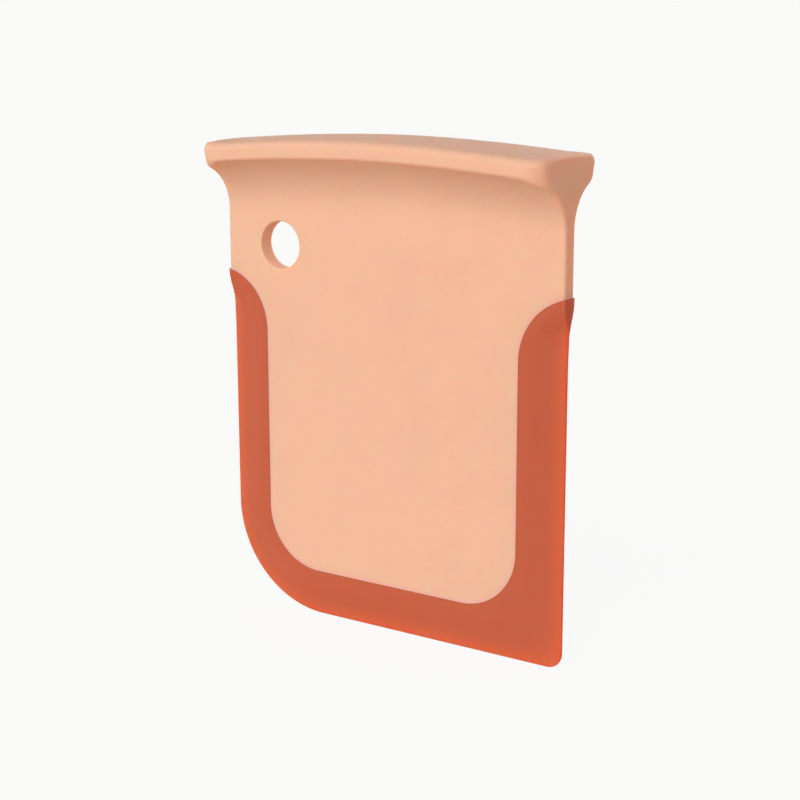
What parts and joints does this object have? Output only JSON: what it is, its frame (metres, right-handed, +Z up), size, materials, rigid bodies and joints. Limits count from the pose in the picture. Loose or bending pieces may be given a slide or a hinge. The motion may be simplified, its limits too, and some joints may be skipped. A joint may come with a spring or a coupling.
{
  "type": "dough and bowl scraper",
  "caption": "Hand scraper for dough and bowls: rigid plate with a T-shaped grip and a hang hole, and a soft U-shaped edge moulded round its sides and bottom.",
  "frame": {"origin": "centre of the lower soft edge, at the bottom of the object's box", "axes": "+X across the scraper to the viewer's right, +Y from the front face to the back face, +Z up from the soft edge to the grip"},
  "size_m": [0.1112, 0.03, 0.14],
  "materials": {
    "peach_plastic": "fine satin moulded plastic",
    "terracotta_silicone": "matte silicone, slightly translucent at its thin edge"
  },
  "bodies": {
    "root": {"scraper_body": "peach_plastic", "silicone_edge": "terracotta_silicone"}
  },
  "joints": []
}
